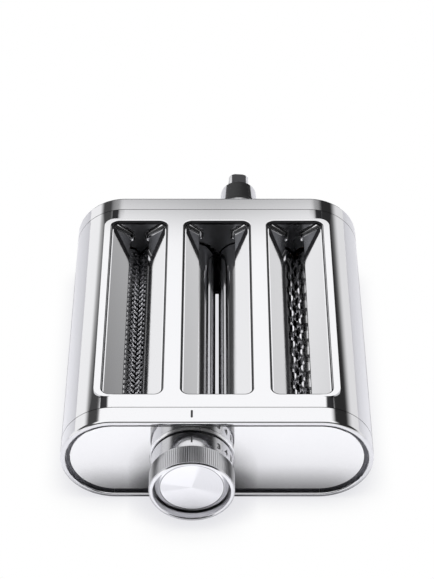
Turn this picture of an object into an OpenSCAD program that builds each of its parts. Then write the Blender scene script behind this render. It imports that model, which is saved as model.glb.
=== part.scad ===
// Three-slot pasta roller attachment for a stand mixer. Smooth sheet rollers lie in the
// middle slot, with a spaghetti cutter on one side and a fettuccine cutter on the other.
// One square shaft turns all six rollers through gears, and a numbered dial shifts one
// sheet roller to set the thickness. Millimetres, +Z up. The machine lies on its flat
// underside. The origin is on that plane, under the middle of the overall length, and
// +Y runs from the dial towards the mixer.

/* [Body] */
// Height of the body
body_h = 58.4; // [58:0.2:62]
// Distance from the outer slots to the sides of the body
side_margin = 22.51; // [21:0.01:26]
// Thickness of the sheet metal shell
shell_t = 1.5; // [1.2:0.1:1.6]
// Width of the open seam between shell and end ring
seam_gap = 0.4; // [0.2:0.1:0.6]
// Width of the rim of each end ring
rim_t = 2.9; // [2.6:0.1:3.2]
// Rounding of the rim's outer edge
rim_round = 1.5; // [1:0.1:1.6]
// Rounding of the rim's inner edge
rim_inner_round = 0.8; // [0.4:0.1:0.9]
// Width of the groove between rim and end panel
rim_groove = 2.1; // [1.5:0.1:2.4]
// How far the end panels lie behind the rims
panel_recess = 1.9; // [1.5:0.1:2.2]
// Thickness of the end panels
panel_t = 2.5; // [2.3:0.1:2.8]
// Bevel on the edge of the end panels
panel_bevel = 0.25; // [0.2:0.05:0.8]
// Gap between the gears and the rear panel
panel_space = 2.5; // [2.5:0.1:6]
// Thickness of that ledge
ledge_t = 2.5; // [2:0.1:2.5]

/* [Slots] */
// Length of the feed slots
slot_l = 144; // [143:0.5:145]
// Width of the feed slot over the sheet rollers
sheet_slot_w = 37.4; // [36.6:0.2:38]
// Width of the feed slots over the cutters
cutter_slot_w = 31.6; // [31:0.2:32]
// Corner radius of the slots
slot_r = 4; // [3.5:0.1:5]
// Rounding of the slot lips
lip_r = 1.6; // [1.2:0.1:2]
// Depth of the turned-in slot lips
lip_depth = 2.6; // [2.4:0.1:2.8]
// Width of the flat ledge outside the outer slots
side_ledge_w = 3; // [2:0.1:3.2]
// Width of the exit slot under the sheet rollers
sheet_exit_w = 28; // [26:0.5:30]
// Width of the exit slots under the cutters
cutter_exit_w = 18; // [17:0.5:18.5]

/* [Guides] */
// Thickness of the guide sheets
guide_t = 1; // [0.8:0.1:1.1]
// Length of the tab that holds a guide under its slot lip
guide_tab = 1; // [0.6:0.1:1]
// Gap between the ends of the guides and the cheek plates
guide_end_gap = 1.3; // [1:0.1:1.6]
// Half width of the throat over the sheet rollers
sheet_throat = 10.6; // [10:0.1:11]
// Half width of the throat over the cutters
cutter_throat = 5.6; // [5.2:0.1:6]
// Height of the bend in the sheet guides above the roller axes
sheet_bend_z = 21.2; // [20:0.1:22]
// Height of the bend in the cutter guides above the roller axes
cutter_bend_z = 19.8; // [19:0.1:20.6]
// Length of the straight lips at the throats
throat_l = 5.6; // [4:0.1:6]
// Half width of the exit under the sheet rollers
sheet_exit_throat = 8.5; // [8.3:0.1:9]
// Depth of the bend in the exit guides below the roller axes
exit_bend_z = 20.5; // [20:0.1:21]
// Thickness of the scraper blades
blade_t = 0.8; // [0.6:0.1:1]
// Thickness of the stripper combs
comb_t = 2; // [1.8:0.1:2]
// Side and end clearance of the comb fingers in the cutter grooves
comb_gap = 0.25; // [0.2:0.05:0.3]

/* [Sheet rollers] */
// Diameter of the two sheet rollers
sheet_d = 24.7; // [24.4:0.1:24.8]
// Gap between the sheet rollers at the widest setting
gap_open = 1.9; // [1.8:0.1:2]
// Gap between the sheet rollers at the finest setting
gap_closed = 0.5; // [0.4:0.1:0.7]
// Teeth on the drive gear, the idler and the sheet roller gears
sheet_teeth = 20; // [20]

/* [Cutters] */
// Diameter of the cutter discs
cutter_d = 18; // [17.9:0.1:18.1]
// Depth by which the discs of a cutter pair overlap
disc_overlap = 1.1; // [1:0.1:1.2]
// Clearance between a disc and the groove it runs in, at the bottom
groove_gap = 0.35; // [0.3:0.05:0.4]
// Clearance between a disc and each side of its groove
disc_side_gap = 0.1; // [0.08:0.01:0.15]
// Width of the spaghetti strips
spaghetti_w = 2; // [1.8:0.1:2.4]
// Width of the fettuccine strips
fettuccine_w = 6.5; // [6:0.1:7]
// Offset of the fettuccine discs along the rollers
fettuccine_shift = 2.4; // [0:0.1:4]
// Teeth on the gears that drive the cutters
cutter_drive_teeth = 16; // [16]
// Teeth on the gears between the two rollers of a cutter
cutter_pair_teeth = 13; // [13]

/* [Frame] */
// Thickness of the two bearing plates
plate_t = 4.6; // [4:0.1:4.8]
// Thickness of the cheek plates at the roller ends
cheek_t = 1.5; // [1.2:0.1:1.6]
// Step from the end of a slot to the cheek plate
cheek_step = 0.3; // [0.2:0.05:0.4]
// Clearance round the rollers in the cheek plates
cheek_gap = 0.6; // [0.4:0.1:0.7]
// Width of the gears
gear_w = 3.6; // [3.4:0.1:3.7]
// Running clearance beside gears, rollers and plates
side_gap = 0.5; // [0.4:0.05:0.55]
// Backlash of the gears
backlash = 0.16; // [0.12:0.02:0.3]
// Diameter of the tie rods
rod_d = 6; // [5:0.5:6]
// Distance of the tie rods from the middle plane
rod_x = 24.2; // [24:0.1:24.6]
// Distance of the tie rods from the outside of the body
rod_inset = 8.4; // [8.2:0.1:8.6]
// Radial running clearance of the bearings
run_gap = 0.05; // [0.03:0.01:0.08]
// Radius of the journals of the fixed sheet roller
sheet_journal_r = 6; // [5.8:0.1:6]
// Radius of the journals of the cutter rollers
cutter_journal_r = 4.5; // [4.2:0.1:4.8]
// Wall of the bearing bushes
bush_t = 1.8; // [1.6:0.1:2]
// Width of the sliding bearing blocks
block_w = 22; // [21:0.5:24]
// Height of the sliding bearing blocks
block_h = 20; // [19.5:0.5:20]
// Thickness of the bridge that carries the front bush of the setting shaft
carrier_t = 3; // [2.5:0.1:3]
// Width of that bridge
carrier_w = 14; // [12:0.5:14]
// Height of its feet
carrier_foot = 5.6; // [5:0.1:5.8]
// Diameter of the screw shanks
screw_d = 3; // [2.6:0.1:3.2]

/* [Dial knob] */
// Diameter of the knurled grip
grip_d = 45.6; // [44:0.2:47]
// Length of the knurled grip
grip_l = 13.1; // [12.6:0.1:15]
// Number of ribs in the knurl
grip_ribs = 120; // [90:6:120]
// Depth of the knurl
knurl_depth = 0.4; // [0.2:0.05:0.5]
// Width of the grip's front rim
grip_rim = 2.3; // [2:0.1:2.6]
// Diameter of the numbered dial
dial_d = 44; // [43:0.2:44.6]
// Length of the numbered dial
dial_l = 10.2; // [9.8:0.1:11]
// Gap between the dial and its base ring
dial_gap = 0.9; // [0.6:0.1:1.2]
// Thickness of the base ring on the panel
base_ring_t = 0.9; // [0.7:0.1:1.1]
// Recess of the face disc behind the grip's rim
face_recess = 3.6; // [3:0.1:4]
// Gap between the face disc and the grip
face_gap = 1; // [0.8:0.1:1.2]
// Width of the bevel on the face disc
face_bevel = 2.2; // [1.6:0.1:2.6]
// Travel of the knob when it is pulled out to free its pin
knob_travel = 4; // [3.5:0.1:4]
// Turn of the dial from its first to its last number, in degrees
dial_turn = 115; // [110:1:120]
// Radius of the pin's track in the base ring
track_r = 16; // [15:0.1:16.5]
// Radius of the locating pin
pin_r = 1.5; // [1.3:0.1:1.6]
// Length of the index mark on the front ring
index_l = 5.6; // [4.6:0.1:6]
// Width of the index mark
index_w = 1.2; // [0.8:0.1:1.4]

/* [Mixer hub] */
// Diameter of the collar that fits the mixer's hub
collar_d = 33.2; // [33:0.1:33.4]
// Reach of the collar beyond the rear rim
collar_reach = 20; // [18:0.5:22]
// Length of the relieved base of the collar, which carries the locating pin
collar_base_l = 5.6; // [5:0.1:7]
// Length of the tapered lead-in at the collar's end
collar_lead = 4; // [1:0.1:5]
// Diameter of the nose where it leaves the collar
nose_root_d = 24.9; // [24:0.1:25.4]
// Diameter of the nose at its end
nose_d = 21.7; // [21.4:0.1:22]
// Length of the nose
nose_l = 19.6; // [18:0.1:22]
// Width of the square drive across its flats
square_w = 11.75; // [11.5:0.05:12]
// Width of each flat between the chamfered corners
square_flat = 8.8; // [8.4:0.1:9]
// Length of the square drive
square_l = 12.5; // [11:0.5:14]
// Turn of the square drive at rest, in degrees
square_turn = 4; // [0:1:10]

/* [Hidden] */
$fn = 64;

// Stations along the body, counted from its middle
r_body = body_h / 2;
slot_y = slot_l / 2;
cheek_in = slot_y + cheek_step;
cheek_out = cheek_in + cheek_t;
barrel_y = cheek_out + 0.8 * side_gap;
neck_y = barrel_y + gear_w;
plate_in = neck_y + side_gap;
plate_out = plate_in + plate_t;
bush_flange_t = 0.9 * side_gap;
bezel_y = plate_out + 0.2;
shell_y = bezel_y - seam_gap;
train_y = plate_out + 1.2 * side_gap;
train_out = train_y + gear_w;
panel_in = train_out + panel_space;
panel_out = panel_in + panel_t;
half_l = panel_out + panel_recess;
ledge_in = panel_in - ledge_t;
journal_end = plate_out - 0.2;
stub_end = train_out + 0.7;
seat_gap = 0.02;
block_gap = 0.05;
index_y = half_l - 6.2;

// Sheet rollers and their gears
sheet_r = sheet_d / 2;
sheet_x = (sheet_d + gap_open) / 2;
travel = gap_open - gap_closed;
train_m = 2 * sheet_x / sheet_teeth;
deep_m = (2 * sheet_x - travel) / sheet_teeth;
deep_r = deep_m * sheet_teeth / 2;
deep_tip = deep_r + 1.27 * deep_m;
deep_root = 2 * deep_r - deep_tip - 0.25;
neck_r = 8.5;
tail_w = 5.6;
roller_bore_r = 6.2;
slide_journal_r = 8;
tail_y = plate_in - 13;
pressure_angle = 20;

// Cutters and their gears
cutter_r = cutter_d / 2;
cutter_pair = cutter_d - disc_overlap;
groove_r = cutter_pair - cutter_r - groove_gap;
pair_m = cutter_pair / cutter_pair_teeth;
cutter_inner = sheet_x + train_m * (sheet_teeth + cutter_drive_teeth) / 2;
cutter_c = cutter_inner + cutter_pair / 2;
cutter_outer = cutter_inner + cutter_pair;
cutter_neck_r = cutter_journal_r + 0.5;

// Width of the body, which follows the slots
body_w = 2 * (cutter_c + cutter_slot_w / 2 + side_margin);
round_x = (body_w - body_h) / 2;

// Panels, ledges, rods and their screws, as distances from the axes of the round sides
rod_z = r_body - rod_inset;
carrier_foot_z = block_h / 2 + block_gap + 0.75 + carrier_foot / 2;
panel_d = r_body - rim_t - rim_groove;
ledge_d = carrier_foot_z + carrier_foot / 2 + 0.8;
boss_r = rod_d / 2 + 0.6;
small_screw_r = screw_d / 3;
panel_screw_z = (ledge_d + panel_d) / 2;
panel_screw_x = round_x - 4;
panel_screw_places = [for (sx = [-1, 1], sz = [-1, 1]) [sx * panel_screw_x, sz * panel_screw_z]];

// Slots
lip_z = r_body - lip_depth;
flare_z = r_body - lip_r + 0.03;
pad_edge = lip_r + 0.9;
exit_throat = 3.2 + comb_t;

// Adjusting shaft: the eccentrics swing evenly below the shaft's axis
dial_half = dial_turn / 2;
throw_e = travel / 2 / sin(dial_half);
eccentric_r = 6;
eccentric_x = -throw_e * sin(dial_half);
eccentric_z = -throw_e * cos(dial_half);
shaft_mid_r = 4.4;
shaft_r = 4.6;
axle_r = 4;
yoke_gap = 0.08;
yoke_y = plate_in + plate_t / 2;
carrier_y = panel_in - 0.7;
shaft_collar_r = shaft_r + 3.7;

// Knob, counted forwards from the front panel
ring_y = panel_out + base_ring_t;
dial_y = ring_y + dial_gap;
grip_y = dial_y + dial_l;
front_y = grip_y + grip_l;
face_y = front_y - face_recess;
face_t = 1.5;
grip_floor = 2.5;
grip_in_r = grip_d / 2 - grip_rim;
face_r = grip_in_r - face_gap;
web_t = 3.7;
spring_y0 = grip_y - 2.9;
shaft_square = 6.4;
shaft_tip = spring_y0 + 8;
screw_head_t = 1.4;
washer_t = 1;
spring_wire = 0.9;
spring_r = 5.9;
pin_angle = 150;
hub_clear = 8;
support_r = 15;
spigot_r = 19;
square_root = dial_y + 1.6;
collar_y = plate_out + side_gap;
axle_end = panel_out - 1.6;
number_turns = [0, 26, 40.5, 55.5, 70.5, 85, 100, dial_turn];

// Mixer hub
collar_end = half_l + collar_reach;
nose_end = collar_end + nose_l;
square_y = nose_end + 0.5;
square_end = square_y + square_l;
shaft_drive_r = 6;
hub_bore_r = shaft_drive_r + run_gap + 2.45;
register_r = 12;
hub_bush_l = 10.5;
hub_screw_l = 8;
hub_screw_r = 14.2;

// Where the body's middle lies along Y, so that the origin is under the middle of it all
body_cy = (front_y - square_end) / 2;

rod_places = [
    [-rod_x, rod_z], [rod_x, rod_z], [-rod_x, -rod_z], [rod_x, -rod_z],
    [-round_x - rod_z, 0], [round_x + rod_z, 0]
];

// ---- helpers ----

// Moves pieces from the middle of the body into the part's own frame
module in_body() {
    translate([0, body_cy, r_body]) children();
}

// Extrudes an outline drawn in X and Z along Y
module along_y(y0, y1) {
    translate([0, y1, 0]) rotate([90, 0, 0]) linear_extrude(y1 - y0) children();
}

// Turns a profile of [radius, y] points about Y
module turned(points) {
    rotate([-90, 0, 0]) rotate_extrude() polygon(points);
}

// A rod along Y at [x, z]
module rod_at(x, z, r, y0, y1) {
    translate([x, 0, z]) along_y(y0, y1) circle(r);
}

module stadium(w, h) {
    square([w - h, h], center = true);
    for (s = [-1, 1]) translate([s * (w - h) / 2, 0]) circle(d = h);
}

module rounded(w, l, r) {
    square([w - 2 * r, l], center = true);
    square([w, l - 2 * r], center = true);
    for (sx = [-1, 1], sy = [-1, 1])
        translate([sx * (w / 2 - r), sy * (l / 2 - r)]) circle(r);
}

// Carries a profile of [distance, y] points round the body's outline
module round_the_body(profile) {
    for (s = [-1, 1]) {
        translate([s * round_x, 0, 0]) rotate([-90, 0, 0]) rotate([0, 0, -s * 90])
            rotate_extrude(angle = 180) polygon(profile);
        rotate([0, -s * 90, 0]) linear_extrude(2 * round_x, center = true) polygon(profile);
    }
}

function arc(cx, cy, r, a0, a1, n) =
    [for (i = [0:n]) let (a = a0 + (a1 - a0) * i / n) [cx + r * cos(a), cy + r * sin(a)]];

// Outline of a bent sheet of thickness t whose one face follows the points
function normal(a, b) = let (d = (b - a) / norm(b - a)) [-d[1], d[0]];
function mitre(p, i, t) =
    i == 0 ? p[0] + t * normal(p[0], p[1])
    : i == len(p) - 1 ? p[i] + t * normal(p[i - 1], p[i])
    : let (m = normal(p[i - 1], p[i]), n = normal(p[i], p[i + 1])) p[i] + t * (m + n) / (1 + m * n);
function bent(p, t) = concat(p, [for (i = [len(p) - 1:-1:0]) mitre(p, i, t)]);

// Involute tooth: half its angle at radius r, for n teeth of module m
function inv(a) = tan(a) * 180 / PI - a;
function tooth_half(n, m, r) =
    let (pitch = n * m / 2, base = pitch * cos(pressure_angle), a = acos(min(1, base / max(r, base))))
    90 / n - backlash / 2 / pitch * 180 / PI + inv(pressure_angle) - inv(a);
function gear_points(n, m, tip, root) =
    let (pitch = n * m / 2, base = max(pitch * cos(pressure_angle), root + 0.15),
         rs = [root, base, pitch, tip])
    [for (i = [0:n - 1], side = [-1, 1], k = [0:3])
        let (r = side < 0 ? rs[k] : rs[3 - k], a = 360 / n * i + side * tooth_half(n, m, r))
        [r * cos(a), r * sin(a)]];

module gear(x, n, m, tip, root, bore, y0, turn = 0) {
    translate([x, 0, 0]) along_y(y0, y0 + gear_w) difference() {
        rotate(turn) polygon(gear_points(n, m, tip, root));
        circle(bore);
    }
}

module train_gear(x, n, bore, turn) {
    pitch = n * train_m / 2;
    gear(x, n, train_m, pitch + 0.95 * train_m, pitch - 1.2 * train_m, bore, train_y, turn);
}

module pair_gear(x) {
    pitch = cutter_pair / 2;
    gear(x, cutter_pair_teeth, pair_m, pitch + 0.9 * pair_m, pitch - 1.15 * pair_m,
        cutter_neck_r + seat_gap, -neck_y);
}

// Countersunk screw along Y: its head is flush at y, and its shank of radius r runs to tip
module countersunk(x, z, r, y, tip) {
    d = sign(y - tip);
    translate([x, 0, z]) turned([
        [0, y], [2 * r, y], [2 * r, y - d * 0.3], [r, y - d * (0.3 + r)], [r, tip], [0, tip]
    ]);
}

// Seat for such a screw, open beyond y, with its hole running to tip
module sunk_hole(x, z, r, y, tip) {
    d = sign(y - tip);
    g = 0.1;
    translate([x, 0, z]) turned([
        [0, y + d], [2 * r + g, y + d], [2 * r + g, y - d * 0.35], [r + g, y - d * (0.35 + r)],
        [r + g, tip], [0, tip]
    ]);
}

// ---- shell and end rings ----

module slot_opening(w, l) {
    wx = w / 2;
    ly = l / 2;
    translate([0, 0, lip_z - 6]) linear_extrude(lip_depth + 8) rounded(w, l, slot_r);
    for (s = [-1, 1]) {
        along_y(-(ly - slot_r), ly - slot_r) scale_side(s) lip_profile(wx);
        rotate([0, 0, 90]) along_y(-(wx - slot_r), wx - slot_r) scale_side(s) lip_profile(ly);
    }
    for (sx = [-1, 1], sy = [-1, 1])
        translate([sx * (wx - slot_r), sy * (ly - slot_r), 0])
            rotate_extrude() lip_profile(slot_r);
}

// What is cut away outside an edge at distance e to leave its rounded lip
module lip_profile(e) {
    difference() {
        translate([e - 0.5, flare_z]) square([lip_r + 0.5, lip_r + 1]);
        translate([e + lip_r - 0.03, flare_z]) circle(lip_r);
    }
}

module scale_side(s) {
    mirror([s < 0 ? 1 : 0, 0]) children();
}

// Wall round a slot that carries its lip; extra widens it on the side away from the middle
module slot_pad(w, extra, top) {
    translate([extra / 2, 0, lip_z]) linear_extrude(lip_depth - top)
        rounded(w + 2 * pad_edge + extra, slot_l + 2 * pad_edge, slot_r + pad_edge);
}

module main_shell() {
    outer_extra = lip_r + side_ledge_w - pad_edge;
    color("gainsboro") in_body() difference() {
        union() {
            along_y(-shell_y, shell_y) difference() {
                stadium(body_w, body_h);
                stadium(body_w - 2 * shell_t, body_h - 2 * shell_t);
            }
            slot_pad(sheet_slot_w, 0, 0.4);
            for (s = [0, 1]) mirror([s, 0, 0])
                translate([cutter_c, 0, 0]) slot_pad(cutter_slot_w, outer_extra, 0.05);
            mirror([0, 0, 1]) {
                slot_pad(sheet_exit_w, 0, 0.4);
                for (s = [-1, 1]) translate([s * cutter_c, 0, 0]) slot_pad(cutter_exit_w, 0, 0.4);
            }
        }
        slot_opening(sheet_slot_w, slot_l);
        mirror([0, 0, 1]) slot_opening(sheet_exit_w, slot_l);
        for (s = [-1, 1]) translate([s * cutter_c, 0, 0]) {
            slot_opening(cutter_slot_w, slot_l);
            mirror([0, 0, 1]) slot_opening(cutter_exit_w, slot_l);
        }
    }
}

module bezel() {
    inner = rim_inner_round;
    difference() {
        union() {
            round_the_body(concat(
                [[r_body - rim_t, bezel_y], [r_body, bezel_y]],
                arc(r_body - rim_round, half_l - rim_round, rim_round, 0, 90, 8),
                arc(r_body - rim_t + inner, half_l - inner, inner, 90, 180, 6),
                [[r_body - rim_t, panel_in], [ledge_d, panel_in],
                 [ledge_d, ledge_in], [r_body - rim_t, ledge_in]]
            ));
            for (p = rod_places) rod_at(p[0], p[1], boss_r, plate_out, panel_in);
        }
        for (p = rod_places) sunk_hole(p[0], p[1], screw_d / 2, panel_in, plate_out - 1);
        for (p = panel_screw_places) rod_at(p[0], p[1], small_screw_r + 0.1, ledge_in - 1, panel_in + 1);
    }
}

module front_bezel() {
    color("silver") in_body() difference() {
        mirror([0, 1, 0]) bezel();
        translate([-sheet_x, -index_y, r_body - 0.4])
            linear_extrude(2) rotate(90) stadium(index_l, index_w);
    }
}

module rear_bezel() {
    color("silver") in_body() bezel();
}

module panel() {
    d = panel_d;
    union() {
        along_y(panel_in, panel_out) stadium(2 * round_x + 2 * (d - panel_bevel - 0.2),
            2 * (d - panel_bevel - 0.2));
        round_the_body([
            [d - panel_bevel - 0.4, panel_in], [d, panel_in], [d, panel_out - panel_bevel],
            [d - panel_bevel, panel_out], [d - panel_bevel - 0.4, panel_out]
        ]);
    }
}

module front_panel() {
    color("whitesmoke") in_body() difference() {
        mirror([0, 1, 0]) panel();
        rod_at(-sheet_x, 0, shaft_r + 0.6, -panel_out - 1, -panel_in + 1);
        pin_track(-panel_out - 1, -panel_in + 1);
        for (p = panel_screw_places) rod_at(p[0], p[1], small_screw_r + seat_gap,
            -panel_in - 0.64 * panel_t, -panel_in + 1);
    }
}

// Arc in which the locating pin travels, with a round pocket at each number
module pin_track(y0, y1) {
    n = 12;
    translate([-sheet_x, 0, 0]) along_y(y0, y1) {
        difference() {
            circle(track_r + pin_r + 0.1);
            circle(track_r - pin_r - 0.1);
            polygon(concat([[0, 0]], [for (i = [0:n])
                let (a = pin_angle + dial_turn + (360 - dial_turn) * i / n)
                2 * track_r * [cos(a), sin(a)]]));
        }
        for (a = number_turns) rotate(pin_angle + a) translate([track_r, 0]) circle(pin_r + 0.5);
    }
}

module rear_panel() {
    color("whitesmoke") in_body() difference() {
        union() {
            panel();
            rod_at(-sheet_x, 0, 8, train_out + side_gap, panel_in + 0.5);
        }
        rod_at(sheet_x, 0, register_r, panel_in - 1, panel_out + 1);
        for (a = [45:90:315])
            rod_at(sheet_x + hub_screw_r * cos(a), hub_screw_r * sin(a), screw_d / 2 + 0.1,
                panel_in - 1, panel_out + 1);
        rod_at(-sheet_x, 0, axle_r + run_gap + 1.5, train_out, panel_out - 1.1);
        for (p = panel_screw_places) sunk_hole(p[0], p[1], small_screw_r, panel_out, panel_in - 1);
    }
}

// ---- frame ----

module cheek_outline() {
    difference() {
        intersection() {
            stadium(body_w - 2 * shell_t - 0.3, body_h - 2 * shell_t - 0.3);
            square([body_w, 2 * (lip_z - 0.05)], center = true);
        }
        translate([sheet_x, 0]) circle(sheet_r + cheek_gap);
        for (dx = [0, travel]) translate([-sheet_x + dx, 0]) circle(sheet_r + cheek_gap);
        translate([-sheet_x, -sheet_r - cheek_gap]) square([travel, 2 * (sheet_r + cheek_gap)]);
        for (s = [-1, 1], x = [cutter_inner, cutter_outer])
            translate([s * x, 0]) circle(cutter_r + cheek_gap);
        for (p = rod_places) translate(p) circle(rod_d / 2 + seat_gap);
    }
}

module front_cheek_plate() {
    color("dimgray") in_body() along_y(-cheek_out, -cheek_in) cheek_outline();
}

module rear_cheek_plate() {
    color("dimgray") in_body() along_y(cheek_in, cheek_out) cheek_outline();
}

module bearing_plate_outline() {
    difference() {
        stadium(body_w - 2 * shell_t - 0.2, body_h - 2 * shell_t - 0.2);
        translate([sheet_x, 0]) circle(sheet_journal_r + run_gap + bush_t + seat_gap);
        for (s = [-1, 1], x = [cutter_inner, cutter_outer])
            translate([s * x, 0]) circle(cutter_journal_r + run_gap + bush_t + seat_gap);
        for (p = rod_places) translate(p) circle(screw_d / 2 + 0.1);
        translate([-sheet_x + travel / 2, 0])
            square([block_w + travel + 4 * block_gap, block_h + 2 * block_gap], center = true);
    }
}

module front_bearing_plate() {
    color("gray") in_body() difference() {
        along_y(-plate_out, -plate_in) bearing_plate_outline();
        for (s = [-1, 1]) rod_at(-sheet_x, s * carrier_foot_z, 1.25, -plate_out - 1, -plate_in + 1);
    }
}

module rear_bearing_plate() {
    color("gray") in_body() along_y(plate_in, plate_out) bearing_plate_outline();
}

module tie_rods() {
    color("silver") in_body() for (p = rod_places) difference() {
        rod_at(p[0], p[1], rod_d / 2, -plate_in, plate_in);
        for (s = [-1, 1])
            rod_at(p[0], p[1], screw_d / 2 + seat_gap, s > 0 ? plate_in - 9 : -plate_in - 1,
                s > 0 ? plate_in + 1 : -plate_in + 9);
    }
}

module frame_screws() {
    color("darkgray") in_body() for (p = rod_places, s = [-1, 1])
        countersunk(p[0], p[1], screw_d / 2, s * panel_in, s * (plate_in - 8));
}

module bush(x, r, s) {
    outer = r + run_gap + bush_t;
    inner = r + run_gap;
    translate([x, 0, 0]) turned([
        [inner, s * plate_in], [outer, s * plate_in], [outer, s * plate_out],
        [outer + 1, s * plate_out], [outer + 1, s * (plate_out + bush_flange_t)],
        [inner, s * (plate_out + bush_flange_t)]
    ]);
}

module sheet_roller_bushes() {
    color("goldenrod") in_body() for (s = [-1, 1]) bush(sheet_x, sheet_journal_r, s);
}

module cutter_bushes() {
    color("goldenrod") in_body()
        for (s = [-1, 1], m = [-1, 1], x = [cutter_inner, cutter_outer])
            bush(m * x, cutter_journal_r, s);
}

// ---- guides, scrapers and combs ----

// Pair of guide sheets for a slot of width w: from the lip down the slope to the throat
module guides(c, w, throat, bend_z, end_z, up) {
    e = w / 2;
    section = bent([
        [e + guide_tab, lip_z], [e - 0.6, lip_z], [throat, bend_z], [throat, end_z]
    ], guide_t);
    half = cheek_in - guide_end_gap;
    translate([c, 0, 0]) for (s = [0, 1]) mirror([s, 0, 0]) mirror([0, 0, up ? 0 : 1])
        along_y(-half, half) polygon(section);
}

module sheet_hopper_guides() {
    color("gainsboro") in_body()
        guides(0, sheet_slot_w, sheet_throat, sheet_bend_z, sheet_bend_z - throat_l, true);
}

module spaghetti_hopper_guides() {
    color("gainsboro") in_body()
        guides(-cutter_c, cutter_slot_w, cutter_throat, cutter_bend_z, cutter_bend_z - throat_l, true);
}

module fettuccine_hopper_guides() {
    color("gainsboro") in_body()
        guides(cutter_c, cutter_slot_w, cutter_throat, cutter_bend_z, cutter_bend_z - throat_l, true);
}

module sheet_exit_guides() {
    color("gainsboro") in_body()
        guides(0, sheet_exit_w, sheet_exit_throat, exit_bend_z, sheet_r + 1.65, false);
}

module spaghetti_exit_guides() {
    color("gainsboro") in_body()
        guides(-cutter_c, cutter_exit_w, exit_throat, exit_bend_z, cutter_r + 1.2, false);
}

module fettuccine_exit_guides() {
    color("gainsboro") in_body()
        guides(cutter_c, cutter_exit_w, exit_throat, exit_bend_z, cutter_r + 1.2, false);
}

// Blades that lift the sheet off the rollers, just clear of them at every setting
module sheet_scrapers() {
    mid = sheet_exit_throat - blade_t / 2;
    edge_z = sqrt(pow(sheet_r, 2) - pow(sheet_x - travel - mid, 2)) + 0.35;
    half = cheek_in - guide_end_gap;
    color("lightsteelblue") in_body() for (s = [0, 1]) mirror([s, 0, 0]) mirror([0, 0, 1])
        along_y(-half, half) polygon([
            [sheet_exit_throat, edge_z], [sheet_exit_throat, exit_bend_z - 0.5],
            [sheet_exit_throat - blade_t, exit_bend_z - 0.5], [sheet_exit_throat - blade_t, edge_z]
        ]);
}

function disc_places(strip, shift, half) =
    [for (k = [ceil((-half - strip / 2 - shift) / (2 * strip)):
               floor((half + strip / 2 - shift) / (2 * strip))])
        shift + 2 * strip * k];

// Comb for one roller: its fingers stand in the grooves between the discs. The grooves of
// one roller lie where the other roller has its discs.
module comb(c, side, strip, shift) {
    spine = -cutter_r - 0.4;
    tips = -0.55 * cutter_r;
    finger = strip / 2 - comb_gap;
    outline = concat(
        [[-cheek_in, 0.5 - exit_bend_z], [-cheek_in, spine]],
        [for (y = disc_places(strip, shift, slot_y - strip)) each
            [[y - finger, spine], [y - finger, tips], [y + finger, tips], [y + finger, spine]]],
        [[cheek_in, spine], [cheek_in, 0.5 - exit_bend_z]]
    );
    difference() {
        translate([c + side * (exit_throat - comb_t / 2) - comb_t / 2, 0, 0])
            rotate([90, 0, 90]) linear_extrude(comb_t) polygon(outline);
        rod_at(c + side * cutter_pair / 2, 0, groove_r + comb_gap, -slot_l, slot_l);
    }
}

module spaghetti_stripper_combs() {
    color("lightsteelblue") in_body()
        for (s = [0, 1]) comb(-cutter_c, 2 * s - 1, spaghetti_w, s * spaghetti_w);
}

module fettuccine_stripper_combs() {
    color("lightsteelblue") in_body()
        for (s = [0, 1]) comb(cutter_c, 1 - 2 * s, fettuccine_w, fettuccine_shift + s * fettuccine_w);
}

// ---- rollers and gears ----

// Cutter roller: discs as wide as a strip, with grooves between them as wide again
module cutter_roller(x, strip, shift, rear_end) {
    half = slot_y;
    w = (strip - disc_side_gap) / 2;
    discs = [for (y = disc_places(strip, shift, half))
        let (a = max(y - w, -half), b = min(y + w, half)) if (b - a > strip / 4) [a, b]];
    translate([x, 0, 0]) turned(concat(
        [[0, -journal_end], [cutter_journal_r, -journal_end], [cutter_journal_r, -neck_y],
         [cutter_neck_r, -neck_y], [cutter_neck_r, -barrel_y], [groove_r, -barrel_y]],
        [for (d = discs) each [[groove_r, d[0]], [cutter_r, d[0]], [cutter_r, d[1]], [groove_r, d[1]]]],
        [[groove_r, barrel_y], [cutter_neck_r, barrel_y], [cutter_neck_r, neck_y],
         [cutter_journal_r, neck_y], [cutter_journal_r, rear_end], [0, rear_end]]
    ));
}

module spaghetti_roller_inner() {
    color("lightgray") in_body() cutter_roller(-cutter_inner, spaghetti_w, 0, stub_end);
}

module spaghetti_roller_outer() {
    color("lightgray") in_body() cutter_roller(-cutter_outer, spaghetti_w, spaghetti_w, journal_end);
}

module fettuccine_roller_inner() {
    color("lightgray") in_body() cutter_roller(cutter_inner, fettuccine_w, fettuccine_shift, stub_end);
}

module fettuccine_roller_outer() {
    color("lightgray") in_body()
        cutter_roller(cutter_outer, fettuccine_w, fettuccine_shift + fettuccine_w, journal_end);
}

module spaghetti_drive_gear() {
    color("slategray") in_body() train_gear(-cutter_inner, cutter_drive_teeth,
        cutter_journal_r + seat_gap, 180 / cutter_drive_teeth);
}

module fettuccine_drive_gear() {
    color("slategray") in_body() train_gear(cutter_inner, cutter_drive_teeth,
        cutter_journal_r + seat_gap, 0);
}

module spaghetti_gear_inner() {
    color("slategray") in_body() pair_gear(-cutter_inner);
}

module spaghetti_gear_outer() {
    color("slategray") in_body() pair_gear(-cutter_outer);
}

module fettuccine_gear_inner() {
    color("slategray") in_body() pair_gear(cutter_inner);
}

module fettuccine_gear_outer() {
    color("slategray") in_body() pair_gear(cutter_outer);
}

module drive_gear() {
    color("slategray") in_body() train_gear(sheet_x, sheet_teeth,
        sheet_journal_r + seat_gap, 180 / sheet_teeth);
}

module idler_gear() {
    color("slategray") in_body() train_gear(-sheet_x, sheet_teeth, axle_r + run_gap, 0);
}

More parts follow.
